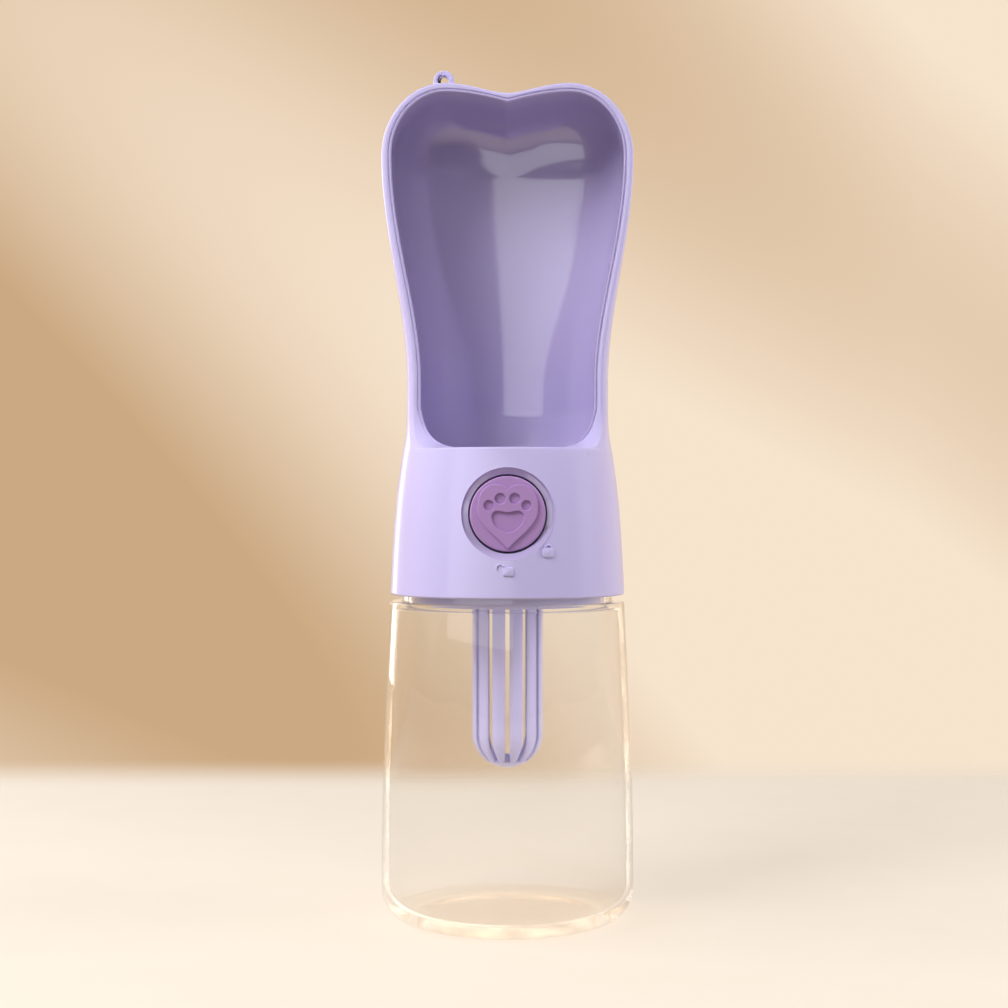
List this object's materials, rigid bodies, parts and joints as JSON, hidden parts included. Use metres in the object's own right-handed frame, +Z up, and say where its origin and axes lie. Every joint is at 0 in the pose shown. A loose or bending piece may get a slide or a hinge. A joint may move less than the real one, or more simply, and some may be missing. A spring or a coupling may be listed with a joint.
{
  "type": "dog_travel_water_bottle",
  "caption": "Clear dog travel water bottle with a lavender screw-on head: push-button valve with a lock, filter cage and a heart-lobed drinking scoop.",
  "frame": {"origin": "centre of the bottle's foot, on the floor", "axes": "+Z up the bottle's axis, front with the button and the scoop's open side towards -Y, +X to the right as seen from the front"},
  "size_m": [0.0752, 0.0752, 0.2557],
  "materials": {
    "clear": "clear blown plastic",
    "lavender": "glossy lavender moulding",
    "mauve": "satin mauve moulding",
    "violet": "satin violet moulding",
    "cage_lilac": "half-gloss lilac moulding",
    "pale_lilac": "plain moulding",
    "acetal": "low-friction white plastic",
    "silicone": "translucent white silicone",
    "black_rubber": "black O-ring rubber",
    "steel": "stainless steel"
  },
  "bodies": {
    "bottle": {"bottle": "clear"},
    "gasket": {"neck_gasket": "silicone"},
    "head": {"scoop_head": "lavender", "outlet_grommet": "silicone", "valve_chassis": "violet", "chassis_seal": "black_rubber", "chassis_screws": "steel", "button_guide": "pale_lilac", "guide_screws": "steel", "stem_o_ring": "black_rubber", "wiper_bush": "acetal", "cage_o_ring": "black_rubber"},
    "cage": {"filter_cage": "cage_lilac"},
    "plunger": {"cam_plunger": "acetal", "button_spring": "steel"},
    "button": {"button_cap": "mauve", "cap_o_ring": "black_rubber", "cap_clip": "steel"},
    "valve": {"valve_stem": "acetal", "cross_pin": "steel", "valve_seal": "silicone", "seal_retainer": "steel"}
  },
  "joints": [
    {"name": "gasket_lift", "type": "slide", "parent": "bottle", "child": "gasket", "axis": [0, 0, 1], "range_m": [0, 0.008]},
    {"name": "head_unscrew", "type": "hinge", "parent": "gasket", "child": "head", "pos_m": [0, 0, 0.1], "axis": [0, 0, 1], "range_deg": [0, 720]},
    {"name": "cage_pull", "type": "slide", "parent": "head", "child": "cage", "axis": [0, 0, -1], "range_m": [0, 0.03]},
    {"name": "button_press", "type": "slide", "parent": "head", "child": "plunger", "axis": [0, 1, 0], "range_m": [0, 0.0035], "stiffness_N_per_m": 900, "springref_m": -0.003, "deforming": ["button_spring"]},
    {"name": "lock_turn", "type": "hinge", "parent": "plunger", "child": "button", "pos_m": [0, -0.03, 0.1208], "axis": [0, -1, 0], "range_deg": [0, 45]},
    {"name": "valve_open", "type": "slide", "parent": "head", "child": "valve", "axis": [0, 0, -1], "range_m": [0, 0.0035]}
  ],
  "couplings": [
    {"joint": "gasket_lift", "follows": "head_unscrew", "m_per_rad": 0.00063662},
    {"joint": "valve_open", "follows": "button_press", "ratio": 1}
  ]
}
